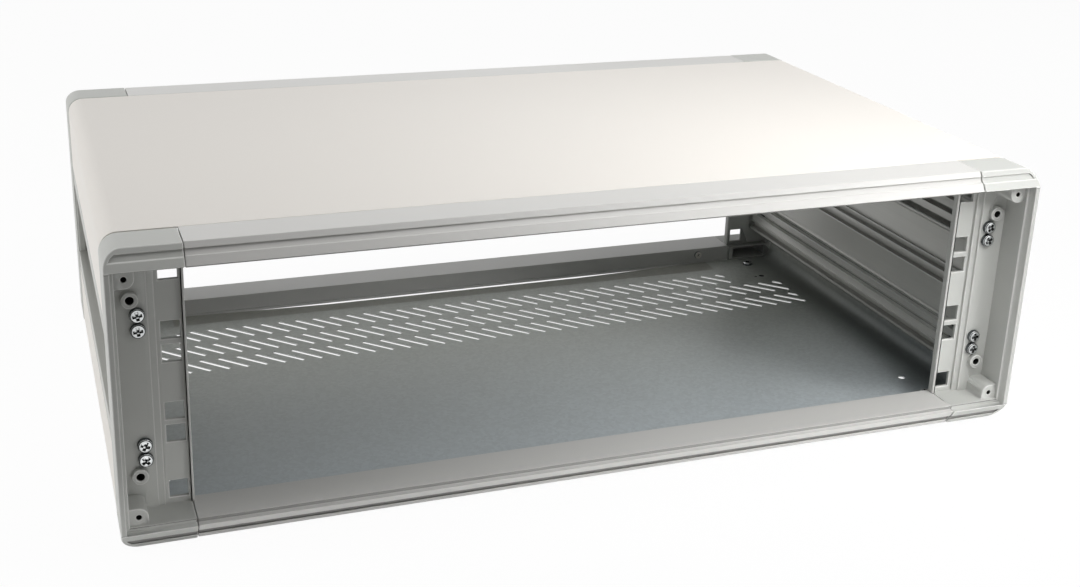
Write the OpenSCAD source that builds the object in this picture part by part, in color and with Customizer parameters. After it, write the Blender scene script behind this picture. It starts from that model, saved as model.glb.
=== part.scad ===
// Open case for panels and plug-in units, three height units tall, open at both ends.
// Millimetres, X to the right, Y to the rear, Z up, origin under the middle of the case.

/* [Overall] */
// Width over the two castings
case_w = 528.2; // [520:0.1:620]
// Depth between the front-most and rear-most edges
case_d = 323; // [230:1:620]
// Height over the castings
case_h = 161; // [156:0.5:200]
// Outer corner radius seen from the front
corner_r = 9; // [7:0.5:11]

/* [Frame section] */
// Depth of a frame, from its front-most edge to the cover
frame_d = 29.6; // [29:0.1:40]
// Height of the sloped front, from the outer face to the front-most edge
lip_rise = 10.5; // [9:0.1:11.5]
// How far the sloped front falls back at the outer face
slope_back = 6.6; // [4:0.1:8]
// Thickness of arms and rails
arm_t = 12.4; // [12:0.1:13.5]
// Thickness of the side walls of the castings
wall_t = 4.8; // [4:0.1:5.5]
// Width of the front lip of the side walls
lip_w = 2.9; // [2:0.1:3.8]
// Depth of the rebate behind the front lip
rebate_d = 4.6; // [3:0.1:6]
// Distance of the groove in the sloped front from the outer face
groove_z = 3.05; // [2.4:0.05:4]
// Height of that groove
groove_h = 3; // [2:0.1:4]
// Depth of that groove, its floor along the slope
groove_d = 1.1; // [0.6:0.1:2]
// Distance of the curved groove end from the outer outline
groove_margin = 2.2; // [1.8:0.1:3]
// Width of the seam between the castings and the covers
seam_w = 1; // [0.6:0.1:2]
// Depth of that seam
seam_d = 1; // [0.6:0.1:1.5]

/* [Rails] */
// Width of an arm, from the outside of the casting to the gap before a rail
arm_w = 37.9; // [36:0.1:46]
// Gap at each end of a rail
split_gap = 0.4; // [0.2:0.1:1.5]
// How far the rails stand behind the front of the arms
rail_setback = 0.9; // [0:0.1:1.5]
// Distance of the inner wall of a rail from the back of the frame
rail_step = 1.6; // [1.4:0.1:3.2]
// Thickness of the walls of a rail
rail_wall = 2; // [1.5:0.1:2.4]
// Length of the tongue that joins an arm and a rail
tongue_len = 33; // [30:0.5:50]
// Clearance round the tongue
tongue_fit = 0.25; // [0.1:0.05:0.5]
// Distance of the joint screw from the end of the rail
joint_x = 26; // [8:0.1:27]
// Height of the joint screw over the outer face
joint_z = 7.4; // [6:0.1:7.8]
// Radius of the joint screw
joint_r = 1.5; // [1:0.1:2]
// Radius of the joint screw head
joint_head_r = 2.9; // [2.4:0.1:3.4]
// Height of the joint screw head
joint_head_h = 1.8; // [1.2:0.1:2]

/* [Panel flange] */
// Distance of the clear opening from the outside of the castings
opening_in = 39.1; // [38:0.1:44]
// Distance of the flange face from the front-most edge
flange_y = 24.4; // [24:0.1:25.5]
// Thickness of the flange
flange_t = 2.5; // [2:0.1:3]
// Width of the flange
flange_w = 14.5; // [14:0.1:15.5]
// Width of the raised band beside the flange
band_w = 3.5; // [2:0.1:4]
// Distance of the band face from the front-most edge
band_y = 23; // [22.6:0.1:23.6]
// Distance of the floor of the recess from the front-most edge
floor_y = 21.6; // [21:0.1:22.2]
// Thickness of that floor
floor_t = 3; // [2.4:0.1:4]
// Thickness of the rib along the opening
rib_t = 1.8; // [1:0.1:2.2]
// How far the rib stands forward of the flange
rib_h = 2.1; // [1:0.1:3]
// Distance of a column of square holes from the opening
hole_off = 7.55; // [7:0.05:8]
// Side of a square hole
hole_s = 9.5; // [9:0.1:9.8]
// One height unit
unit_h = 44.45; // [44.45:0.05:44.5]
// Distance between the two holes on either side of a unit border
hole_gap = 12.7; // [11:0.05:14]
// Number of height units
units = 3; // [3:1:3]

/* [Bosses] */
// Distance of the corner bosses from the outside of the castings
corner_in = 9.5; // [8.5:0.1:11]
// Distance of the corner bosses from the arms
corner_drop = 4.05; // [3:0.05:5]
// Radius of the corner boss
corner_boss_r = 5; // [4:0.1:5.4]
// Radius of the hole in the corner boss
corner_hole_r = 1.4; // [1:0.1:2]
// Distance of the corner boss face from the front-most edge
corner_boss_y = 6.7; // [6.5:0.1:10]
// Distance of the round bosses from the outside of the castings
round_in = 12.4; // [11:0.1:14]
// Height between a round boss and the next screw head
boss_gap = 0.4; // [0.2:0.1:1.5]
// Radius of the round boss
round_boss_r = 4.3; // [3.6:0.1:4.4]
// Radius of the hole in the round boss
round_hole_r = 2.1; // [1.5:0.1:2.5]
// Distance of the round boss face from the front-most edge
round_boss_y = 18.6; // [17:0.1:20]
// Depth of the holes in the bosses
boss_hole_d = 8; // [6:0.5:9]

/* [Upright screws] */
// Distance of the screws from the outside of the castings
screw_in = 15.65; // [14:0.05:17.4]
// Distance from mid height to the nearer screws
screw_near = 31.4; // [28.4:0.1:33]
// Gap between the two screw heads of a pair
screw_gap = 0.4; // [0.2:0.1:1.5]
// Radius of the screws
screw_r = 1.8; // [1.5:0.1:2.2]
// Radius of the screw heads
screw_head_r = 3.9; // [3.2:0.1:3.9]
// Height of the screw heads
screw_head_h = 2.8; // [1.8:0.1:3]
// Length of the screw in the side panel
screw_bite = 12; // [8:0.5:18]
// Clearance round the screw in the casting
screw_fit = 0.3; // [0.1:0.05:0.5]

/* [Side panels] */
// Thickness of a side panel, from its inner face to its outer lip
panel_w = 19.3; // [18.5:0.1:20]
// Height of a side panel
panel_h = 110; // [108:0.5:114]
// Wall thickness of the panel
panel_wall = 2.4; // [2:0.1:2.8]
// Height of the outer lips beside the grip
lip_h = 11.4; // [9:0.1:13]
// Height of the grip channel on the outside
grip_h = 47.6; // [40:0.1:52]
// Depth of the grip channel
grip_d = 10; // [6:0.1:11]
// Distance of the outer lips behind the outside of the castings
lip_inset = 0.4; // [0.2:0.1:1]
// Height of the two guide grooves at mid height
guide_h = 4.4; // [3:0.1:5]
// Distance between the two guide grooves
guide_gap = 2.9; // [2:0.1:8]
// Depth of the guide grooves below the inner face
guide_d = 1.2; // [0.6:0.1:1.5]
// How far the ribs of the guide grooves stand out
guide_out = 2.6; // [1:0.1:4]
// Thickness of the outer ribs of the guide grooves
guide_lip = 1.4; // [0.8:0.1:3]
// Clearance round the screw in its channel in the panel
channel_fit = 0.05; // [0:0.05:0.2]
// Width of the slit of a screw channel
slit_w = 3.4; // [1:0.1:3.6]
// Height of the beads along the inner face
bead_h = 3.4; // [2:0.1:4]
// How far the inner beads and thin ribs stand out
bead_out = 1.1; // [0.6:0.1:1.5]
// Thickness of the thin ribs
thin_rib = 1.2; // [0.8:0.1:1.6]
// Distance of the inner beads from the nearer screws
rib_near = 3.2; // [2.6:0.1:5]
// Distance of the thin ribs from the farther screws
rib_far = 7.2; // [5:0.1:9.4]
// Depth of the grooves along the two edges of the inner face
edge_d = 3; // [1:0.1:4]

/* [Covers] */
// Thickness of the sheet
sheet_t = 1; // [0.8:0.1:2]
// How far the covers lie inside the outside of the castings
cover_drop = 0.3; // [0.1:0.05:0.6]
// How far the top cover is lifted from there
cover_lift = 0.3; // [0:0.05:0.6]
// Gap between a cover and the frames
joint_gap = 0.3; // [0.2:0.05:1]
// Clearance between a cover and the side panel
cover_fit = 0.2; // [0.1:0.05:0.4]

/* [Slots and holes in the bottom] */
// Distance between slots in a row
slot_pitch = 12.05; // [9:0.05:16]
// Place of a slot end in a row, to the right of the middle
slot_phase = 8.05; // [0:0.05:12]
// Distance between the rows
row_pitch = 24; // [22:0.1:30]
// Reach of a slot in each direction, at forty-five degrees
slot_reach = 17; // [12:0.1:19]
// Width of a slot
slot_w = 3; // [1.2:0.1:4]
// Distance of the rear row from the rear-most edge
row_rear = 57; // [54:0.5:80]
// Distance of the slots in the two front rows from the outside
field_in = 22.1; // [20:0.1:54]
// Distance of the slots in the rear row from the outside
rear_field_in = 58.1; // [52:0.1:74]
// How far the relief in the rear edge of the bottom reaches in
relief_d = 5; // [3:0.1:6]
// Run of the slanted ends of that relief
relief_run = 110; // [40:1:150]
// Distance of the foot holes from the outside
foot_in = 29.1; // [26:0.1:44]
// Distance of the foot holes from the front-most and rear-most edges
foot_y = 68; // [56:0.5:80]
// Radius of a foot hole
foot_r = 2.1; // [1.5:0.1:3]
// Distance from a foot hole to its small guide hole
foot_pin = 5; // [4.5:0.1:7]
// Radius of the small guide hole
foot_pin_r = 1.1; // [0.8:0.1:1.2]
// Distance of the floor screws from the outside
floor_screw_in = 28.1; // [26:0.1:44]
// Distance of the floor screws from the front-most and rear-most edges
floor_screw_y = 43; // [40:0.5:48]
// Radius of a floor screw
floor_screw_r = 2; // [1.5:0.1:2.5]
// Radius of the head of a floor screw
floor_head_r = 3.6; // [3:0.1:4]
// Height of the head of a floor screw
floor_head_h = 2.2; // [1.6:0.1:3]

/* [Hidden] */
$fn = 48;
half_w = case_w / 2;
half_h = case_h / 2;
split_x = half_w - arm_w;
rail_half = split_x - split_gap;
rail_d = frame_d - rail_step;
wall_x = half_w - wall_t;
inner_z = half_h - arm_t;
open_x = half_w - opening_in;
hole_x = open_x + hole_off;
band_x = open_x + flange_w;
floor_x = band_x + band_w;
flange_back = flange_y + flange_t;
corner_x = half_w - corner_in;
corner_z = inner_z - corner_drop;
screw_x = half_w - screw_in;
screw_far = screw_near + 2 * screw_head_r + screw_gap;
round_x = half_w - round_in;
round_z = screw_far + screw_head_r + round_boss_r + boss_gap;
channel_r = screw_r + channel_fit;
panel_out = half_w - lip_inset;
panel_in = panel_out - panel_w;
panel_half = panel_h / 2;
lip_top = grip_h / 2 + lip_h;
shoulder_x = half_w - cover_drop - sheet_t - cover_fit;
cover_half = half_h - cover_drop;
cover_low = lip_top + cover_fit;
cover_w = case_w - 2 * cover_drop;
cover_y0 = frame_d + joint_gap;
cover_y1 = case_d - cover_y0;
cover_in = half_h - cover_drop - sheet_t;
cavity_y0 = rail_setback + slope_at(groove_z) + groove_d + rail_wall;
cavity_y1 = rail_d - rail_wall;
cavity_z0 = rail_wall;
cavity_z1 = arm_t - rail_wall;
row_y = case_d - row_rear;
field_half = half_w - field_in;
rear_half = half_w - rear_field_in;
slack = 1;
SIDES = [-1, 1];

// A flat shape drawn in X and Z, pushed along Y
module along_y(y0, y1) {
  translate([0, y1, 0]) rotate([90, 0, 0]) linear_extrude(y1 - y0) children();
}

// A flat shape drawn in Y and Z, pushed along X
module along_x(x0, x1) {
  translate([x0, 0, 0]) rotate([90, 0, 90]) linear_extrude(x1 - x0) children();
}

// A round bar along Y
module pin_y(x, z, r, y0, y1) {
  translate([x, y1, z]) rotate([90, 0, 0]) cylinder(h = y1 - y0, r = r);
}

// A rectangle with round corners
module rounded(w, h, r) {
  square([w - 2 * r, h], center = true);
  square([w, h - 2 * r], center = true);
  for (sx = SIDES, sz = SIDES) translate([sx * (w / 2 - r), sz * (h / 2 - r)]) circle(r = r);
}

// A rectangle from one corner to the other
module block2(x0, z0, x1, z1) {
  translate([x0, z0]) square([x1 - x0, z1 - z0]);
}

// The two copies above and below mid height
module both_halves() {
  children();
  mirror([0, 0, 1]) children();
}

// Heights of the square holes, from mid height
function hole_heights() = [for (u = [0 : units - 1], s = SIDES)
  (u - (units - 1) / 2) * unit_h + s * (unit_h - hole_gap) / 2];

// The part of the section that the sloped front takes away
module slope_cut() {
  along_x(rail_half - tongue_len, half_w + slack) polygon([
    [-slack, half_h + slack],
    [slope_back * (1 + slack / lip_rise), half_h + slack],
    [0, half_h - lip_rise],
    [-slack, half_h - lip_rise]]);
}

// How far the sloped front has fallen back at a distance from the outer face
function slope_at(d) = slope_back * (1 - d / lip_rise);

// The section of the groove in a sloped front that starts at y0
module groove2(y0) {
  polygon([
    [-slack, half_h - groove_z - groove_h],
    [y0 + slope_at(groove_z + groove_h) + groove_d, half_h - groove_z - groove_h],
    [y0 + slope_at(groove_z) + groove_d, half_h - groove_z],
    [-slack, half_h - groove_z]]);
}

// The groove in the sloped front, its end following the round corner
module groove_cut() {
  intersection() {
    along_x(split_x - slack, half_w) groove2(0);
    along_y(-2 * slack, slope_back + 2 * groove_d)
      rounded(case_w - 2 * groove_margin, case_h - 2 * groove_margin, corner_r - groove_margin);
  }
}

// The seam round the back of the castings, where the covers begin
module seam_cut() {
  along_y(frame_d - seam_w, frame_d + slack) difference() {
    square([case_w + 2 * slack, case_h + 2 * slack], center = true);
    rounded(case_w - 2 * seam_d, case_h - 2 * seam_d, corner_r - seam_d);
  }
}

// The hollow in the back of an arm
module arm_pocket() {
  along_x(split_x + 2 * rail_wall, wall_x - rail_wall) block2(
    cavity_y0 + 2 * rail_wall, half_h - cavity_z1, frame_d + slack, half_h - cavity_z0 - slack);
}

// The tongue that goes into the end of a rail
module tongue() {
  along_x(rail_half - tongue_len, split_x + slack) block2(
    cavity_y0 + tongue_fit, half_h - cavity_z1 + tongue_fit,
    cavity_y1 - tongue_fit, half_h - cavity_z0 - tongue_fit);
}

// The corner boss, square to the walls and round at its free corner
module corner_boss() {
  along_y(corner_boss_y, floor_y + slack) {
    translate([corner_x, corner_z]) circle(r = corner_boss_r);
    block2(corner_x - corner_boss_r, corner_z, wall_x + slack, inner_z + slack);
    block2(corner_x, corner_z - corner_boss_r, wall_x + slack, inner_z + slack);
  }
}

// One casting, drawn for the front right, mid height at zero
module upright() {
  difference() {
    union() {
      difference() {
        along_y(0, frame_d) intersection() {
          rounded(case_w, case_h, corner_r);
          block2(split_x, -half_h, half_w, half_h);
        }
        along_y(-slack, rebate_d)
          square([case_w - 2 * lip_w, case_h - 2 * lip_rise], center = true);
        along_y(-slack, frame_d + slack) square([2 * wall_x, 2 * inner_z], center = true);
        both_halves() arm_pocket();
      }
      along_y(floor_y, floor_y + floor_t)
        block2(floor_x, -inner_z - slack, wall_x + slack, inner_z + slack);
      along_y(band_y, flange_back)
        block2(band_x, -inner_z - slack, floor_x + slack, inner_z + slack);
      along_y(flange_y, flange_back) {
        block2(open_x, -inner_z, band_x + slack, inner_z);
        block2(split_x, -inner_z - slack, band_x + slack, inner_z + slack);
      }
      along_y(flange_y - rib_h, flange_back)
        block2(open_x, -inner_z, open_x + rib_t, inner_z);
      both_halves() {
        tongue();
        corner_boss();
        pin_y(round_x, round_z, round_boss_r, round_boss_y, frame_d);
      }
      for (s = SIDES, z = [screw_near, screw_far])
        pin_y(screw_x, s * z, screw_head_r, floor_y + slack, frame_d);
    }
    both_halves() {
      slope_cut();
      groove_cut();
      pin_y(corner_x, corner_z, corner_hole_r, corner_boss_y - slack, corner_boss_y + boss_hole_d);
      pin_y(round_x, round_z, round_hole_r, round_boss_y - slack, round_boss_y + boss_hole_d);
      pin_y(rail_half - joint_x, half_h - joint_z, joint_r, rail_d - boss_hole_d, rail_d);
    }
    seam_cut();
    for (z = hole_heights()) along_y(flange_y - slack, flange_back + slack)
      translate([hole_x, z]) square(hole_s, center = true);
    for (s = SIDES, z = [screw_near, screw_far])
      pin_y(screw_x, s * z, screw_r + screw_fit, floor_y - slack, frame_d + slack);
  }
}

// One rail, drawn for the top of the front
module rail() {
  difference() {
    along_x(-rail_half, rail_half) difference() {
      polygon([
        [rail_setback + slope_back, half_h],
        [frame_d, half_h],
        [frame_d, half_h - rail_wall],
        [rail_d, half_h - rail_wall],
        [rail_d, inner_z],
        [rebate_d, inner_z],
        [rebate_d, half_h - lip_rise],
        [rail_setback, half_h - lip_rise]]);
      groove2(rail_setback);
      block2(cavity_y0, half_h - cavity_z1, cavity_y1, half_h - cavity_z0);
    }
    for (s = SIDES)
      pin_y(s * (rail_half - joint_x), half_h - joint_z, joint_r + tongue_fit,
        cavity_y1 - slack, rail_d + slack);
  }
}

// The two joint screws of the rail at the top of the front
module rail_screws() {
  for (s = SIDES) {
    x = s * (rail_half - joint_x);
    pin_y(x, half_h - joint_z, joint_head_r, rail_d, rail_d + joint_head_h);
    pin_y(x, half_h - joint_z, joint_r, rail_d - boss_hole_d, rail_d + slack);
  }
}

// The section of a side panel, outside to the right
module panel_section() {
  difference() {
    union() {
      block2(panel_in, -panel_half, shoulder_x, panel_half);
      for (s = SIDES) translate([0, s * (grip_h + lip_h) / 2])
        block2(panel_in, -lip_h / 2, panel_out, lip_h / 2);
      for (s = SIDES) {
        translate([panel_in, s * (panel_half - bead_h / 2)])
          scale(bead_h / 2) circle(r = 1);
        translate([panel_in + bead_h / 2 - bead_out, s * (screw_near - rib_near)])
          circle(r = bead_h / 2);
        translate([panel_in, s * (screw_far + rib_far)])
          square([2 * bead_out, thin_rib], center = true);
        translate([panel_in, s * (guide_gap / 2 + guide_h + guide_lip / 2)])
          square([2 * guide_out, guide_lip], center = true);
      }
      translate([panel_in, 0]) square([2 * guide_out, guide_gap], center = true);
    }
    block2(panel_out - grip_d, -grip_h / 2, panel_out + slack, grip_h / 2);
    block2(panel_in + panel_wall, -grip_h / 2 + panel_wall,
      panel_out - grip_d - panel_wall, grip_h / 2 - panel_wall);
    for (s = SIDES) {
      translate([0, s * (guide_gap + guide_h) / 2])
        block2(panel_in - slack, -guide_h / 2, panel_in + guide_d, guide_h / 2);
      edge_low = screw_far + rib_far + thin_rib / 2;
      edge_h = panel_half - bead_h - edge_low;
      translate([0, s * (edge_low + edge_h / 2)])
        block2(panel_in - slack, -edge_h / 2, panel_in + edge_d, edge_h / 2);
      for (z = [screw_near, screw_far]) {
        translate([screw_x, s * z]) circle(r = channel_r);
        translate([0, s * z])
          block2(panel_in - 2 * bead_out, -slit_w / 2, screw_x, slit_w / 2);
      }
      hollow_low = grip_h / 2 + panel_wall;
      translate([0, s * (hollow_low + panel_half - panel_wall) / 2]) square_hollow(hollow_low);
    }
  }
}

// The hollow beside the screw channels
module square_hollow(low) {
  h = panel_half - panel_wall - low;
  block2(screw_x + channel_r + panel_wall, -h / 2, shoulder_x - panel_wall, h / 2);
}

// One side panel on the right
module side_panel() {
  along_y(frame_d, case_d - frame_d) panel_section();
}

// The four screws of the front right casting
module upright_screws() {
  for (s = SIDES, z = [screw_near, screw_far]) {
    pin_y(screw_x, s * z, screw_head_r, floor_y - screw_head_h, floor_y);
    pin_y(screw_x, s * z, screw_r, floor_y - slack, frame_d + screw_bite);
  }
}

// A folded cover, drawn for the top
module cover() {
  along_y(cover_y0, cover_y1) difference() {
    rounded(cover_w, 2 * cover_half, corner_r);
    rounded(cover_w - 2 * sheet_t, 2 * cover_in, corner_r - sheet_t);
    block2(-half_w, -half_h, half_w, cover_low);
  }
}

// One slanted slot, from its rear left end to its front right end
module slot2(x, y) {
  translate([x, y]) rotate(-45) translate([0, -slot_w / 2]) square([slot_reach * sqrt(2), slot_w]);
}

// One row of slots, ended square at both sides
module slot_row(y, half) {
  first = ceil((-half - slot_reach - slot_phase) / slot_pitch);
  last = floor((half - slot_phase) / slot_pitch);
  translate([0, 0, -half_h - slack]) linear_extrude(2 * slack + 2 * sheet_t) intersection() {
    for (i = [first : last]) slot2(slot_phase + i * slot_pitch, y);
    translate([-half, y - 2 * slot_reach]) square([2 * half, 4 * slot_reach]);
  }
}

// The shallow relief in the rear edge of the bottom
module relief_cut() {
  translate([0, 0, -half_h - slack]) linear_extrude(2 * slack + 2 * sheet_t) polygon([
    [-rear_half, cover_y1 + slack],
    [-rear_half, cover_y1],
    [relief_run - rear_half, cover_y1 - relief_d],
    [rear_half - relief_run, cover_y1 - relief_d],
    [rear_half, cover_y1],
    [rear_half, cover_y1 + slack]]);
}

// The bottom cover with slots and holes
module bottom_sheet() {
  difference() {
    mirror([0, 0, 1]) cover();
    slot_row(row_y, rear_half);
    slot_row(row_y - row_pitch, field_half);
    slot_row(row_y - 2 * row_pitch, field_half);
    relief_cut();
    for (s = SIDES, y = [foot_y, case_d - foot_y]) {
      translate([s * (half_w - foot_in), y, -half_h - slack])
        cylinder(h = 2 * slack + 2 * sheet_t, r = foot_r);
      translate([s * (half_w - foot_in - foot_pin), y, -half_h - slack])
        cylinder(h = 2 * slack + 2 * sheet_t, r = foot_pin_r);
    }
    floor_screw_places() translate([0, 0, -slack])
      cylinder(h = 2 * slack + 2 * sheet_t, r = floor_screw_r);
  }
}

// The places of the four screws on the bottom cover
module floor_screw_places() {
  for (s = SIDES, y = [floor_screw_y, case_d - floor_screw_y])
    translate([s * (half_w - floor_screw_in), y, -cover_half]) children();
}

// The four screws on the bottom cover
module floor_screws() {
  floor_screw_places() {
    translate([0, 0, sheet_t]) cylinder(h = floor_head_h, r = floor_head_r);
    cylinder(h = sheet_t + slack, r = floor_screw_r);
  }
}

// From the frame of the drawing to the frame of the part
module place() {
  translate([0, -case_d / 2, half_h]) children();
}

// The same piece at the rear
module rear() {
  mirror([0, 1, 0]) children();
}

// The same piece at the left
module left() {
  mirror([1, 0, 0]) children();
}

// The same piece at the bottom
module low() {
  translate([0, 0, case_h]) mirror([0, 0, 1]) children();
}

module front_right_upright() { color("Gainsboro") place() upright(); }
module front_left_upright() { color("Gainsboro") left() place() upright(); }
module rear_right_upright() { color("Gainsboro") rear() place() upright(); }
module rear_left_upright() { color("Gainsboro") rear() left() place() upright(); }
module front_top_rail() { color("Silver") place() rail(); }
module front_bottom_rail() { color("Silver") low() place() rail(); }
module rear_top_rail() { color("Silver") rear() place() rail(); }
module rear_bottom_rail() { color("Silver") rear() low() place() rail(); }
module right_side_panel() { color("DarkGray") place() side_panel(); }
module left_side_panel() { color("DarkGray") left() place() side_panel(); }
module top_cover() { color("WhiteSmoke") place() translate([0, 0, cover_lift]) cover(); }
module bottom_cover() { color("LightSlateGray") place() bottom_sheet(); }
module front_right_upright_screws() { color("LightSteelBlue") place() upright_screws(); }
module front_left_upright_screws() { color("LightSteelBlue") left() place() upright_screws(); }
module rear_right_upright_screws() { color("LightSteelBlue") rear() place() upright_screws(); }
module rear_left_upright_screws() { color("LightSteelBlue") rear() left() place() upright_screws(); }
module front_top_rail_screws() { color("DimGray") place() rail_screws(); }
module front_bottom_rail_screws() { color("DimGray") low() place() rail_screws(); }
module rear_top_rail_screws() { color("DimGray") rear() place() rail_screws(); }
module rear_bottom_rail_screws() { color("DimGray") rear() low() place() rail_screws(); }
module bottom_cover_screws() { color("LightSteelBlue") place() floor_screws(); }

front_left_upright();
front_right_upright();
rear_left_upright();
rear_right_upright();
front_top_rail();
front_bottom_rail();
rear_top_rail();
rear_bottom_rail();
left_side_panel();
right_side_panel();
top_cover();
bottom_cover();
front_left_upright_screws();
front_right_upright_screws();
rear_left_upright_screws();
rear_right_upright_screws();
front_top_rail_screws();
front_bottom_rail_screws();
rear_top_rail_screws();
rear_bottom_rail_screws();
bottom_cover_screws();
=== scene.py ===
import math

import bmesh
import bpy
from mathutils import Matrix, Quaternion, Vector


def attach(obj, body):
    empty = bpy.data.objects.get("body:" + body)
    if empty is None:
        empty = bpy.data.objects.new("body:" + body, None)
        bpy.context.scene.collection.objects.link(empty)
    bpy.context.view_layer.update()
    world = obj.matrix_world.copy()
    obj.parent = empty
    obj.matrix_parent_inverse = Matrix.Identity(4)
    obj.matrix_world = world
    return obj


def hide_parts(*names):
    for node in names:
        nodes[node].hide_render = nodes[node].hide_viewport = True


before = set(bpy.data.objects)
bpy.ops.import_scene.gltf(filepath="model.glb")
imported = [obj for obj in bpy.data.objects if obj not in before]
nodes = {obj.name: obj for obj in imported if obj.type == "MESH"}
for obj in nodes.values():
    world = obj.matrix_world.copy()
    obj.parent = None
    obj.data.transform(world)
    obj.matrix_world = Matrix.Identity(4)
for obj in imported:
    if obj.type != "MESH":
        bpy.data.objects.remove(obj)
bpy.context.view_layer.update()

scene = bpy.context.scene
mm = 0.001
print("case: frame loaded,", len(nodes), "solids")


# camera, fitted to the square holes of the two flanges
cameraSetup = {
    "place": (-0.29548, -0.80276, 0.39755),
    "turn": (0.804119, 0.570412, -0.107543, -0.128286),
    "focalPixels": 1424.66,
    "axisPixel": (507.684, 215.157),
    "imageSize": (1080, 587),
    "sensor": 36.0,
    "clip": (0.01, 50),
}


def makeCamera(setup):
    data = bpy.data.cameras.new("caseCamera")
    camera = bpy.data.objects.new("caseCamera", data)
    scene.collection.objects.link(camera)
    wide, high = setup["imageSize"]
    data.sensor_width = setup["sensor"]
    data.lens = setup["focalPixels"] / wide * setup["sensor"]
    data.shift_x = (wide / 2 - setup["axisPixel"][0]) / wide
    data.shift_y = (setup["axisPixel"][1] - high / 2) / wide
    data.clip_start, data.clip_end = setup["clip"]
    data.dof.use_dof = False
    camera.location = setup["place"]
    camera.rotation_mode = "QUATERNION"
    camera.rotation_quaternion = Quaternion(setup["turn"])
    scene.camera = camera


makeCamera(cameraSetup)
print("case: camera placed")


# sockets that can be added, multiplied and compared
class Sock:
    def __init__(self, maker, out):
        self.maker, self.out = maker, out

    def maths(self, operation, a, b=None):
        values = {0: a} if b is None else {0: a, 1: b}
        return self.maker.node("ShaderNodeMath", {"operation": operation}, values)

    def __add__(self, other): return self.maths("ADD", self, other)
    def __sub__(self, other): return self.maths("SUBTRACT", self, other)
    def __rsub__(self, other): return self.maths("SUBTRACT", other, self)
    def __mul__(self, other): return self.maths("MULTIPLY", self, other)
    def __truediv__(self, other): return self.maths("DIVIDE", self, other)
    def __pow__(self, other): return self.maths("POWER", self, other)
    def __gt__(self, other): return self.maths("GREATER_THAN", self, other)
    def __lt__(self, other): return self.maths("LESS_THAN", self, other)
    def __abs__(self): return self.maths("ABSOLUTE", self)

    def most(self, other):
        return self.maths("MAXIMUM", self, other)

    def remap(self, fromLow, fromHigh, toLow=0.0, toHigh=1.0):
        return self.maker.node("ShaderNodeMapRange", {"clamp": True}, {
            "Value": self, "From Min": fromLow, "From Max": fromHigh, "To Min": toLow, "To Max": toHigh})

    def split(self):
        made = self.maker.node("ShaderNodeSeparateXYZ", {}, {0: self}).out.node
        return [Sock(self.maker, out) for out in made.outputs]


class Maker:
    def __init__(self, tree):
        self.tree = tree

    def node(self, kind, settings=None, inputs=None, out=0):
        made = self.tree.nodes.new(kind)
        for key, value in (settings or {}).items():
            setattr(made, key, value)
        for key, value in (inputs or {}).items():
            for one in value if isinstance(value, list) else [value]:
                if isinstance(one, Sock):
                    self.tree.links.new(one.out, made.inputs[key])
                else:
                    made.inputs[key].default_value = one
        return Sock(self, made.outputs[out])


class Shader(Maker):
    def __init__(self, name):
        self.material = bpy.data.materials.new(name)
        self.material.use_nodes = True
        super().__init__(self.material.node_tree)
        self.tree.nodes.clear()
        self.end = self.tree.nodes.new("ShaderNodeOutputMaterial")
        self.place = self.node("ShaderNodeTexCoord", out=3)

    def stretched(self, scale):
        return self.node("ShaderNodeMapping", {}, {"Vector": self.place, "Scale": scale})

    def noise(self, scale, detail=2.0, roughness=0.5, vector=None):
        return self.node("ShaderNodeTexNoise", {}, {
            "Vector": vector or self.place, "Scale": scale, "Detail": detail, "Roughness": roughness})

    def mix(self, factor, a, b):
        return self.node("ShaderNodeMix", {"data_type": "RGBA"}, {0: factor, 6: a, 7: b}, out=2)

    def mottled(self, factor, tone, low, high):
        return self.mix(factor, shade(tone, low), shade(tone, high))

    def bump(self, height, strength, distance):
        return self.node("ShaderNodeBump", {}, {
            "Height": height, "Strength": strength, "Distance": distance})

    def surface(self, shader):
        self.tree.links.new(shader.out, self.end.inputs["Surface"])
        return self.material

    def finish(self, **sockets):
        return self.surface(self.node("ShaderNodeBsdfPrincipled", {}, {
            key.replace("_", " "): value for key, value in sockets.items()}))


def linear(red, green, blue):
    return tuple(c / 12.92 if c <= 0.04045 else ((c + 0.055) / 1.055) ** 2.4
                 for c in (red / 255, green / 255, blue / 255)) + (1.0,)


def shade(tone, share):
    return tuple(min(1.0, c * share) for c in tone[:3]) + (1.0,)


# noise scales per metre of each kind of finish, and the depth of its bump
grains = {
    "paint": {"cloud": 11, "depth": 0.02 * mm},
    "drawn": {"streak": (900, 5, 900), "band": (140, 2, 140), "cloud": 25, "depth": 0.02 * mm},
    "zinc": {"spangle": 520, "fine": 1900, "cloud": 16, "depth": 0.012 * mm},
    "bare": {"fine": 1600, "cloud": 350, "depth": 0.01 * mm},
}

# fine textured paint of the castings, rails and covers, a lighter copy as a painted highlight on casting edges,
# and dark paints as painted shade in holes, grooves and corners
paints = {
    "castingPaint": {"tone": linear(187, 188, 184), "rough": 0.46, "sheen": 0.3,
                     "speck": 0.05, "grain": 1700, "lift": 0.22},
    # painted highlight for the rounded outer edges of the castings
    "castingHighlight": {"tone": linear(208, 208, 205), "rough": 0.4, "sheen": 0.3,
                    "speck": 0.09, "grain": 900, "lift": 0.12},
    "railPaint": {"tone": linear(201, 200, 197), "rough": 0.36, "sheen": 0.5,
                  "speck": 0.03, "grain": 2300, "lift": 0.12},
    "coverPaint": {"tone": linear(230, 226, 220), "rough": 0.5, "sheen": 0.35,
                   "speck": 0.03, "grain": 1500, "lift": 0.2},
    # painted shade for blind holes and screw recesses, also the paint of the dark plugs
    "holeShade": {"tone": linear(46, 46, 44), "rough": 0.6, "sheen": 0.1,
                 "speck": 0.2, "grain": 1200, "lift": 0.1},
    # painted shade for grooves, small steps and the low corners of the rear castings
    "shadePaint": {"tone": linear(145, 145, 142), "rough": 0.6, "sheen": 0.12,
                    "speck": 0.06, "grain": 1200, "lift": 0.12},
}


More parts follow.
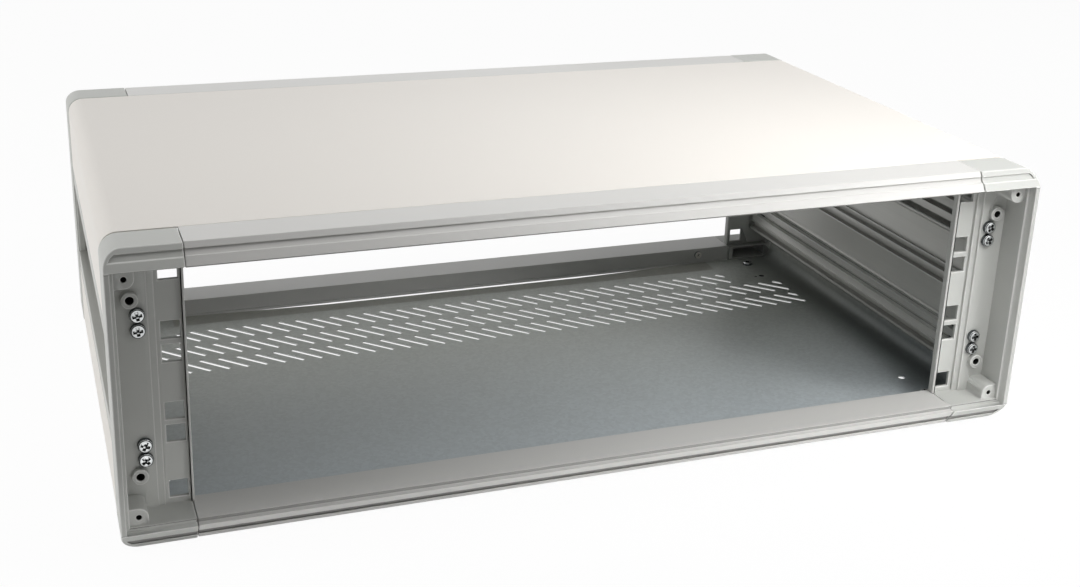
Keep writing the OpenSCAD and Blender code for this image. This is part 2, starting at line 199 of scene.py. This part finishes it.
def paint(name, look):
    s, grain = Shader(name), grains["paint"]
    fine = s.noise(look["grain"], 2.5, 0.6)
    cloud = s.noise(grain["cloud"], 3)
    mottleAndHighlight = fine * 0.55 + cloud * 0.45
    return s.finish(
        Base_Color=s.mottled(mottleAndHighlight, look["tone"], 1 - look["speck"], 1 + look["speck"]),
        Specular_IOR_Level=look["sheen"],
        Roughness=fine * 0.14 + cloud * 0.06 + (look["rough"] - 0.1),
        Normal=s.bump(fine, look["lift"], grain["depth"]))


finishes = {name: paint(name, look) for name, look in paints.items()}


# drawn aluminium of the side panels, streaked along its length
drawn = {
    "panelMetal": {"tone": linear(176, 176, 172), "metal": 0.7, "rough": 0.38},
    # a pale copy as painted light in the lower screw channels
    "channelLitMetal": {"tone": linear(232, 232, 228), "metal": 0.15, "rough": 0.5},
    # a darker copy as painted shade on the beads along the panel edges
    "beadShadeMetal": {"tone": linear(140, 140, 136), "metal": 0.6, "rough": 0.45},
}


def drawnAluminium(name, look):
    s, grain = Shader(name), grains["drawn"]
    streak = s.noise(1, 4, 0.6, s.stretched(grain["streak"]))
    broad = s.noise(1, 3, 0.5, s.stretched(grain["band"]))
    cloud = s.noise(grain["cloud"], 4)
    both = streak * 0.5 + broad * 0.3 + cloud * 0.2
    return s.finish(
        Base_Color=s.mottled(both, look["tone"], 0.78, 1.16),
        Metallic=look["metal"],
        Roughness=both * 0.25 + (look["rough"] - 0.06),
        Normal=s.bump(streak, 0.14, grain["depth"]))


for name, look in drawn.items():
    finishes[name] = drawnAluminium(name, look)


# zinc coated inside of the covers, with a bluer tone towards the front as a painted reflection, painted shade
# in the right bend, and duller along a strip at the rear of the floor
zinc = {
    "tone": linear(187, 190, 185), "mottle": (0.78, 1.22), "metal": 0.2, "rough": 0.5,
    # painted reflection: a bluer tone towards the front
    "frontReflectionTone": linear(182, 189, 192), "front": (-110 * mm, 40 * mm),
    # painted shade: a darker tone low in the right bend
    "bendShadeTone": linear(104, 107, 105), "bend": (230 * mm, 251 * mm),
    "bendShadeRise": (4 * mm, 11 * mm), "bendShadeShare": (0.62, 0.1),
    "stripTone": linear(178, 178, 171), "stripMottle": (0.85, 1.12),
    "stripNear": 115.4 * mm, "stripHalf": 206 * mm, "stripTop": 10 * mm, "soft": 0.4 * mm,
}


def zincSheet(name, look):
    s, grain = Shader(name), grains["zinc"]
    spangle = s.node("ShaderNodeTexVoronoi", {"feature": "F1"}, {
        "Vector": s.place, "Scale": grain["spangle"]}, out=1)
    grey = s.node("ShaderNodeSeparateColor", {}, {0: spangle})
    fine = s.noise(grain["fine"], 3, 0.6)
    cloud = s.noise(grain["cloud"], 4)
    mottleAndHighlight = grey * 0.3 + fine * 0.4 + cloud * 0.3
    x, y, z = s.place.split()
    strip = ((y - look["stripNear"]).remap(0, look["soft"])
             * (look["stripHalf"] - abs(x)).remap(0, look["soft"])
             * (z < look["stripTop"]))
    # painted reflection: bluer towards the front
    near = y.remap(*look["front"], 1.0, 0.0)
    plain = s.mix(near, s.mottled(mottleAndHighlight, look["tone"], *look["mottle"]),
                  s.mottled(mottleAndHighlight, look["frontReflectionTone"], *look["mottle"]))
    # painted shade in the right bend, strongest low down
    bend = x.remap(*look["bend"]) * z.remap(*look["bendShadeRise"], *look["bendShadeShare"])
    plain = s.mix(bend, plain, look["bendShadeTone"])
    dull = s.mottled(mottleAndHighlight, look["stripTone"], *look["stripMottle"])
    return s.finish(
        Base_Color=s.mix(strip, plain, dull),
        Metallic=look["metal"] - strip * 0.15,
        Roughness=mottleAndHighlight * 0.2 + strip * 0.2 + (look["rough"] - 0.08),
        Normal=s.bump(fine, 0.12, grain["depth"]))


finishes["zincSheet"] = zincSheet("zincSheet", zinc)


# bare metal of cut edges and screws, the screws in a darker copy as painted shade on rims and small recesses
# and a lighter copy as a painted highlight on faces
bareMetals = {
    "cutZinc": {"tone": linear(176, 178, 176), "rough": 0.34, "dark": 0.85},
    "screwShadedZinc": {"tone": linear(104, 108, 110), "rough": 0.24, "dark": 0.75},
    "screwFaceHighlight": {"tone": linear(220, 223, 223), "rough": 0.34, "dark": 0.72},
}


def bareMetal(name, look):
    s, grain = Shader(name), grains["bare"]
    fine = s.noise(grain["fine"], 3)
    cloud = s.noise(grain["cloud"], 2)
    return s.finish(
        Base_Color=s.mottled(cloud, look["tone"], look["dark"], 1.0),
        Metallic=1.0,
        Roughness=fine * 0.14 + (look["rough"] - 0.05),
        Normal=s.bump(fine, 0.08, grain["depth"]))


for name, look in bareMetals.items():
    finishes[name] = bareMetal(name, look)
print("case: finishes made")


def ready(piece, slot, *nodeNames):
    if nodeNames:
        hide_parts(*nodeNames)
    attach(piece, "root")


def plainMesh(piece):
    layers = bpy.context.evaluated_depsgraph_get()
    mesh = bpy.data.meshes.new_from_object(
        piece.evaluated_get(layers), preserve_all_data_layers=True, depsgraph=layers)
    piece.modifiers.clear()
    piece.data = mesh
    return piece


# distances in metres and angles by which copies of the solids are cleaned and rounded
rounding = {
    "merge": 2e-6, "close": 1e-6,
    "flat": math.radians(0.6), "sharp": math.radians(28), "crease": math.radians(50),
}


# a copy of a solid with merged corners and rounded edges, its flat faces kept flat
def roundedCopy(pieceName, nodeName, edge, coats, choose):
    mesh = nodes[nodeName].data.copy()
    mesh.materials.clear()
    for coat in coats:
        mesh.materials.append(finishes[coat])
    bm = bmesh.new()
    bm.from_mesh(mesh)
    for corner in bm.verts:
        corner.co.y *= edge.get("stretch", 1)
    bmesh.ops.remove_doubles(bm, verts=bm.verts, dist=rounding["merge"])
    bmesh.ops.dissolve_limit(bm, angle_limit=rounding["flat"], verts=bm.verts, edges=bm.edges)
    sharp = [e for e in bm.edges if len(e.link_faces) == 2 and e.is_convex
             and e.calc_face_angle(0) > rounding["sharp"]]
    made = bmesh.ops.bevel(bm, geom=sharp, offset=edge["width"] * mm, offset_type="OFFSET",
                           segments=edge["steps"], profile=0.5, affect="EDGES", clamp_overlap=False)
    turned = set(made["faces"])
    bmesh.ops.remove_doubles(bm, verts=bm.verts, dist=rounding["close"])
    for face in bm.faces:
        face.material_index = choose(face.calc_center_median(), face.normal, face in turned)
        face.smooth = True
    bm.to_mesh(mesh)
    bm.free()
    mesh.set_sharp_from_angle(angle=rounding["crease"])
    piece = bpy.data.objects.new(pieceName, mesh)
    scene.collection.objects.link(piece)
    weighted = piece.modifiers.new("flatFaces", "WEIGHTED_NORMAL")
    weighted.mode = "FACE_AREA"
    weighted.keep_sharp = True
    return plainMesh(piece)


def makePieces(look, choose):
    for name in look["pieces"]:
        ready(roundedCopy(name + look["ending"], name, look["edge"], look["coats"], choose), look["slot"], name)


# half of the case's depth and height in mm
halfDeep, halfHigh = 161.5, 80.5

# sloped fronts of castings and rails, with painted shade in the groove and on the small step behind them
slopes = {
    "back": 6.6, "rise": 10.5, "groove": (2.95, 6.15), "floor": (0.25, 1.6),
    "step": (10.6, 12.3), "reach": 7, "facing": 0.5,
}


def inPaintedShade(look, setback, centre, normal):
    x, y, z = centre / mm
    depth, outer = halfDeep - abs(y) - setback, halfHigh - abs(z - halfHigh)
    below = depth - look["back"] * (1 - outer / look["rise"])
    if look["groove"][0] < outer < look["groove"][1] and look["floor"][0] < below < look["floor"][1]:
        return z < halfHigh or normal.z < -look["facing"]
    return (look["step"][0] < outer < look["step"][1] and depth < look["reach"]
            and abs(normal.y) > look["facing"])


# castings, with a painted highlight on their outer edges, painted shade in their blind holes and painted shade
# on the low corners at the rear
castings = {
    "pieces": ["front_left_upright", "front_right_upright", "rear_left_upright", "rear_right_upright"],
    "ending": ".casting", "slot": "casting", "edge": {"width": 0.6, "steps": 3},
    "coats": ("castingPaint", "castingHighlight", "holeShade", "shadePaint"),
    "mottleAndHighlight": 25, "corner": 50, "bores": [(254.6, 64.05, 1.45, 7.3), (251.7, 48.2, 2.15, 19.2)],
}


def castingSides(look):
    def choose(centre, normal, onEdge):
        x, y, z = centre / mm
        depth, height = halfDeep - abs(y), abs(z - halfHigh)
        # painted shade inside the blind holes
        for boreX, boreZ, reach, low in look["bores"]:
            if depth > low and math.hypot(abs(x) - boreX, height - boreZ) < reach:
                return 2
        # painted shade in the groove and on the small step
        if inPaintedShade(slopes, 0, centre, normal):
            return 3
        # painted shade on the low part of the rear castings, away from their rear face
        if y > 0 and depth > look["mottleAndHighlight"] and halfHigh - z > look["corner"]:
            return 3
        # painted highlight on rounded edges near the front or rear face
        return 1 if onEdge and depth < look["mottleAndHighlight"] else 0
    return choose


makePieces(castings, castingSides(castings))

rails = {
    "pieces": ["front_top_rail", "front_bottom_rail", "rear_top_rail", "rear_bottom_rail"],
    "ending": ".extrusion", "slot": "rail", "edge": {"width": 0.3, "steps": 3},
    "coats": ("railPaint", "shadePaint"),
    "setback": 0.9,
}


def railSides(look):
    def choose(centre, normal, onEdge):
        # painted shade in the rail grooves and on the small steps
        return int(inPaintedShade(slopes, look["setback"], centre, normal))
    return choose


makePieces(rails, railSides(rails))

# side panels, with painted light in their lower screw channels and painted shade on the beads along their edges
panels = {
    "pieces": ["left_side_panel", "right_side_panel"],
    "ending": ".extrusion", "slot": "panel", "edge": {"width": 0.22, "steps": 2},
    "coats": ("panelMetal", "channelLitMetal", "beadShadeMetal"),
    "inner": (244.8, 250.4), "channels": [(-31.4, 1.8), (-39.6, 1.8)], "rim": 51.8,
}


def panelSides(look):
    def choose(centre, normal, onEdge):
        x, y, z = centre / mm
        # painted shade on the beads along the top and bottom edges
        if abs(z - halfHigh) > look["rim"]:
            return 2
        inside = look["inner"][0] < abs(x) < look["inner"][1]
        # painted light in the lower screw channels
        litChannel = any(abs(z - halfHigh - place) < half for place, half in look["channels"])
        return 1 if inside and litChannel else 0
    return choose


makePieces(panels, panelSides(panels))
print("case: castings, rails and panels made")


# covers, painted outside and zinc coated inside, the bottom one bare where it is cut
covers = {
    "halfWide": 263.8 * mm, "high": 161 * mm, "bend": 9 * mm, "facing": 0.3,
    "top": {"pieces": ["top_cover"], "ending": ".sheet", "slot": "cover",
            "edge": {"width": 0.25, "steps": 3}, "drop": 0,
            "coats": ("coverPaint", "zincSheet", "coverPaint")},
    "bottom": {"pieces": ["bottom_cover"], "ending": ".sheet", "slot": "base_sheet",
               "edge": {"width": 0.12, "steps": 1, "stretch": 1.0019}, "drop": 0.3 * mm,
               "coats": ("coverPaint", "zincSheet", "cutZinc")},
}


def coverSides(look, which):
    low, drop = which == "bottom", look[which]["drop"]

    def choose(centre, normal, onEdge):
        across = max(abs(centre.x) - (look["halfWide"] - look["bend"]), 0)
        level = centre.z if low else look["high"] - centre.z
        down = max(drop + look["bend"] - level, 0)
        outward = Vector((math.copysign(across, centre.x), 0, -down if low else down)).normalized()
        facing = outward.dot(normal)
        return 0 if facing > look["facing"] else 1 if facing < -look["facing"] else 2
    return choose


for which in ("top", "bottom"):
    makePieces(covers[which], coverSides(covers, which))
print("case: covers made")


# form of a screw's head, as shares of its sizes, and where the finish of its face and its recess begins
headForm = {
    "sides": 32, "rings": 22, "rim": 0.36, "dome": 0.42, "least": 0.0001, "taper": (0.62, 1.2),
    "faceReach": 0.93, "faceLow": 0.5, "recessReach": 0.66, "recessTop": 0.15, "recessLow": 0.05,
    "shankSides": 20, "quarterTurn": 1.57, "seed": 7,
}
sizeNames = ("Head Radius", "Head Height", "Recess Length", "Recess Width", "Recess Depth",
             "Shank Radius", "Shank Length")
coatNames = ("Finish", "Face Finish", "Recess Finish")


# cross recess screws, set on their seats by one node tree
def screwTree(form):
    tree = bpy.data.node_groups.new("crossScrews", "GeometryNodeTree")
    m = Maker(tree)
    kinds = {"Seats": "Geometry"} | dict.fromkeys(sizeNames, "Float") | dict.fromkeys(coatNames, "Material")
    for key, kind in kinds.items():
        tree.interface.new_socket(name=key, in_out="INPUT", socket_type="NodeSocket" + kind)
    tree.interface.new_socket(name="Screws", in_out="OUTPUT", socket_type="NodeSocketGeometry")
    given = tree.nodes.new("NodeGroupInput")
    size = {key: Sock(m, given.outputs[key]) for key in kinds}

    # a ball pressed into a pan head with a flat underside
    ball = m.node("GeometryNodeMeshUVSphere", {}, {
        "Segments": form["sides"], "Rings": form["rings"], "Radius": 1.0})
    x, y, z = m.node("GeometryNodeInputPosition").split()
    reach = ((x * x + y * y) ** 0.5).most(form["least"])
    pressed = (reach ** form["rim"]) / reach * size["Head Radius"]
    rise = (z.most(0.0) ** form["dome"]) * size["Head Height"]
    panPlace = m.node("ShaderNodeCombineXYZ", {}, {0: x * pressed, 1: y * pressed, 2: rise})
    pan = m.node("GeometryNodeSetPosition", {}, {"Geometry": ball, "Position": panPlace})

    # two bars, narrower at the bottom, cut the recess
    bars = []
    for turned in (False, True):
        long = m.node("ShaderNodeCombineXYZ", {}, {
            0: size["Recess Width"] if turned else size["Recess Length"],
            1: size["Recess Length"] if turned else size["Recess Width"],
            2: size["Recess Depth"] * 2})
        bar = m.node("GeometryNodeMeshCube", {}, {"Size": long})
        u, v, w = m.node("GeometryNodeInputPosition").split()
        taper = (w / size["Recess Depth"]).remap(-1, 1, *form["taper"])
        barPlace = m.node("ShaderNodeCombineXYZ", {}, {
            0: u * taper, 1: v * taper, 2: w + size["Head Height"]})
        bars.append(m.node("GeometryNodeSetPosition", {}, {"Geometry": bar, "Position": barPlace}))
    head = m.node("GeometryNodeMeshBoolean", {"operation": "DIFFERENCE"}, {"Mesh 1": pan, "Mesh 2": bars})

    # zone 1 is the face of the head, zone 2 its recess
    u, v, w = m.node("GeometryNodeInputPosition").split()
    reach = (u * u + v * v) ** 0.5
    onFace = (reach < size["Head Radius"] * form["faceReach"]) * (w > size["Head Height"] * form["faceLow"])
    inRecess = ((w < size["Head Height"] - size["Recess Depth"] * form["recessTop"])
                * (w > size["Head Height"] * form["recessLow"])
                * (reach < size["Recess Length"] * form["recessReach"]))
    head = m.node("GeometryNodeStoreNamedAttribute", {"data_type": "FLOAT", "domain": "FACE"}, {
        "Geometry": head, "Name": "zone", "Value": onFace + inRecess})

    shank = m.node("GeometryNodeMeshCylinder", {}, {
        "Vertices": form["shankSides"], "Radius": size["Shank Radius"], "Depth": size["Shank Length"]})
    sunk = m.node("ShaderNodeCombineXYZ", {}, {2: size["Shank Length"] * -0.5})
    shank = m.node("GeometryNodeTransform", {}, {"Geometry": shank, "Translation": sunk})
    whole = m.node("GeometryNodeJoinGeometry", {}, {0: [head, shank]})
    whole = m.node("GeometryNodeSetShadeSmooth", {}, {"Geometry": whole})

    axis = m.node("GeometryNodeInputNamedAttribute", {"data_type": "FLOAT_VECTOR"}, {"Name": "axis"})
    stand = m.node("FunctionNodeAlignRotationToVector", {"axis": "Z"}, {"Vector": axis})
    spin = m.node("FunctionNodeRandomValue", {"data_type": "FLOAT"}, {
        "Min": 0.0, "Max": form["quarterTurn"], "Seed": form["seed"]}, out=1)
    spin = m.node("FunctionNodeAxisAngleToRotation", {}, {"Axis": (0, 0, 1), "Angle": spin})
    turn = m.node("FunctionNodeRotateRotation", {"rotation_space": "LOCAL"}, {0: stand, 1: spin})
    placed = m.node("GeometryNodeInstanceOnPoints", {}, {
        "Points": size["Seats"], "Instance": whole, "Rotation": turn})
    real = m.node("GeometryNodeRealizeInstances", {}, {0: placed})
    done = m.node("GeometryNodeSetMaterial", {}, {"Geometry": real, "Material": size["Finish"]})
    zone = m.node("GeometryNodeInputNamedAttribute", {"data_type": "FLOAT"}, {"Name": "zone"})
    for least, coat in ((0.5, "Face Finish"), (1.5, "Recess Finish")):
        done = m.node("GeometryNodeSetMaterial", {}, {
            "Geometry": done, "Selection": zone > least, "Material": size[coat]})
    tree.links.new(done.out, tree.nodes.new("NodeGroupOutput").inputs[0])
    return tree


# screws and plugs, each seat a place and an axis in mm, each size in the order of sizeNames
ends = (-1, 1)
screws = {
    "upright_screws.zinc": {
        "seats": [((248.45 * sx, 139.9 * sy, halfHigh + sz * rise), (0, sy, 0))
                  for sx in ends for sy in ends for sz in ends for rise in (31.4, 39.6)],
        "head": (3.9, 2.8), "recess": (5.4, 1.9, 1.6), "shank": (1.7, 20),
        # rims in the shaded zinc copy, faces in the lighter copy as a painted highlight, recesses in painted
        # shade
        "coats": ("screwShadedZinc", "screwFaceHighlight", "holeShade"), "slot": "zinc_screw",
        "stands for": [n for n in nodes if n.endswith("upright_screws")],
    },
    "rail_screws.dull": {
        "seats": [((199.8 * sx, 133.5 * sy, z), (0, -sy, 0))
                  for sx in ends for sy in ends for z in (7.4, 153.6)],
        "head": (2.9, 1.8), "recess": (2.6, 0.75, 0.9), "shank": (1.4, 7.8),
        # the rail screws' faces take the pale cover paint as a painted highlight
        "coats": ("screwShadedZinc", "coverPaint", "screwShadedZinc"), "slot": "dark_screw",
        "stands for": [n for n in nodes if n.endswith("rail_screws")],
    },
    "floor_screws.zinc": {
        "seats": [((236 * sx, 118.5 * sy, 1.3), (0, 0, 1)) for sx in ends for sy in ends],
        "head": (3.6, 2.2), "recess": (4.2, 1.2, 1.5), "shank": (1.9, 0.98),
        "coats": ("screwShadedZinc", "screwFaceHighlight", "holeShade"), "slot": "zinc_screw",
        "stands for": ["bottom_cover_screws"],
    },
    # dark plugs under the rear holes, in the same paint as the painted shade of the bores
    "foot_plugs.dark": {
        "seats": [((235 * sx, 93.5, 0.3), (0, 0, -1)) for sx in ends],
        "head": (3.4, 0.25), "recess": (1.2, 0.4, 0.08), "shank": (2.05, 0.9),
        "coats": ("holeShade", "holeShade", "holeShade"), "slot": "dark_screw",
        "stands for": [],
    },
    "guide_plugs.dark": {
        "seats": [((230 * sx, 93.5, 0.3), (0, 0, -1)) for sx in ends],
        "head": (1.4, 0.22), "recess": (0.6, 0.2, 0.06), "shank": (1.05, 0.9),
        "coats": ("holeShade", "holeShade", "holeShade"), "slot": "dark_screw",
        "stands for": [],
    },
    "guide_plugs.zinc": {
        "seats": [((230 * sx, -93.5, 0.3), (0, 0, -1)) for sx in ends],
        "head": (1.4, 0.22), "recess": (0.6, 0.2, 0.06), "shank": (1.08, 0.98),
        "coats": ("zincSheet", "zincSheet", "zincSheet"), "slot": "base_sheet",
        "stands for": [],
    },
}
screwCrease = math.radians(40)


def makeScrews(setup):
    tree = screwTree(headForm)
    sockets = {item.name: item.identifier for item in tree.interface.items_tree if item.in_out == "INPUT"}
    for name, look in setup.items():
        mesh = bpy.data.meshes.new(name)
        mesh.from_pydata([Vector(place) * mm for place, axis in look["seats"]], [], [])
        axes = mesh.attributes.new("axis", "FLOAT_VECTOR", "POINT")
        for i, (place, axis) in enumerate(look["seats"]):
            axes.data[i].vector = axis
        piece = bpy.data.objects.new(name, mesh)
        scene.collection.objects.link(piece)
        grown = piece.modifiers.new("crossScrews", "NODES")
        grown.node_group = tree
        for key, length in zip(sizeNames, look["head"] + look["recess"] + look["shank"]):
            grown[sockets[key]] = length * mm
        for key, coat in zip(coatNames, look["coats"]):
            grown[sockets[key]] = finishes[coat]
        plainMesh(piece)
        piece.data.set_sharp_from_angle(angle=screwCrease)
        ready(piece, look["slot"], *look["stands for"])


makeScrews(screws)
print("case: screws made")


# white ground and surroundings
stageSetup = {"floorSize": 12.0, "floorLevel": -0.2 * mm, "floorTone": (0.9, 0.9, 0.9, 1),
              "white": (1, 1, 1, 1), "whiteShare": 0.96}


# one for rays that are seen straight, in a reflection or through glass
def seen(maker):
    outs = maker.node("ShaderNodeLightPath").out.node.outputs
    camera, glossy, through = (Sock(maker, outs[n]) for n in (
        "Is Camera Ray", "Is Glossy Ray", "Is Transmission Ray"))
    return camera.most(glossy).most(through)


def makeStage(setup):
    half, low = setup["floorSize"] / 2, setup["floorLevel"]
    mesh = bpy.data.meshes.new("ground")
    mesh.from_pydata([(-half, -half, low), (half, -half, low), (half, half, low), (-half, half, low)],
                     [], [(0, 1, 2, 3)])
    ground = bpy.data.objects.new("ground", mesh)
    scene.collection.objects.link(ground)
    s = Shader("groundPaper")
    diffuse = s.node("ShaderNodeBsdfDiffuse", {}, {"Color": setup["floorTone"]})
    glow = s.node("ShaderNodeEmission", {}, {"Color": setup["white"], "Strength": 1.0})
    s.surface(s.node("ShaderNodeMixShader", {}, {0: seen(s) * setup["whiteShare"], 1: diffuse, 2: glow}))
    mesh.materials.append(s.material)

    world = bpy.data.worlds.new("studio")
    scene.world = world
    world.use_nodes = True
    world.node_tree.nodes.clear()
    w = Maker(world.node_tree)
    back = w.node("ShaderNodeBackground", {}, {"Color": setup["white"], "Strength": seen(w)})
    w.tree.links.new(back.out, w.tree.nodes.new("ShaderNodeOutputWorld").inputs["Surface"])


makeStage(stageSetup)

# soft lamps all round, near keys at the right and low strips that stand for the bounce of a bright table
lamps = {
    "top": {"place": (0, -0.12, 1.3), "aim": (0, -0.12, 0),
            "size": (1.6, 0.5), "power": 6.3, "spread": 180},
    "left": {"place": (-1.4, 0.1, 0.6), "aim": (-0.2, 0, 0.08),
             "size": (1.0, 1.0), "power": 10.5, "spread": 180},
    "right": {"place": (1.4, 0.2, 0.7), "aim": (0.2, 0, 0.08),
              "size": (1.0, 1.0), "power": 6.3, "spread": 180},
    "rear": {"place": (0, 1.6, 0.5), "aim": (0, 0.1, 0.08),
             "size": (1.4, 0.8), "power": 1.4, "spread": 180},
    "keyHigh": {"place": (0.25, -0.5, 0.8), "aim": (0.2, -0.1, 0),
                "size": (0.35, 0.35), "power": 0.61, "spread": 80},
    "keyRight": {"place": (0.75, -0.75, 0.45), "aim": (0.3, -0.1, 0.08),
                 "size": (0.4, 0.4), "power": 0.53, "spread": 50},
    "inside": {"place": (0.15, -0.7, 0.6), "aim": (0.18, -0.02, 0),
               "size": (0.3, 0.3), "power": 0.11, "spread": 32},
    "lowWide": {"place": (0.08, -0.235, 0.004), "aim": (0.08, -0.158, 0.03),
                "size": (0.25, 0.05), "power": 0.018, "spread": 110},
    "lowLeft": {"place": (-0.14, -0.235, 0.004), "aim": (-0.14, -0.158, 0.006),
                "size": (0.28, 0.03), "power": 0.013, "spread": 60},
    "lowRight": {"place": (0.09, -0.235, 0.004), "aim": (0.09, -0.158, 0.006),
                 "size": (0.28, 0.03), "power": 0.0075, "spread": 60},
}


def makeLamps(setup):
    for name, lamp in setup.items():
        data = bpy.data.lights.new(name, "AREA")
        data.shape = "RECTANGLE"
        data.size, data.size_y = lamp["size"]
        data.energy = lamp["power"]
        data.spread = math.radians(lamp["spread"])
        made = bpy.data.objects.new(name, data)
        scene.collection.objects.link(made)
        made.location = lamp["place"]
        made.visible_camera = False
        made.rotation_mode = "QUATERNION"
        made.rotation_quaternion = (Vector(lamp["aim"]) - Vector(lamp["place"])).to_track_quat("-Z", "Y")


makeLamps(lamps)
scene.view_settings.view_transform = "Standard"
print("case: stage and lamps made")
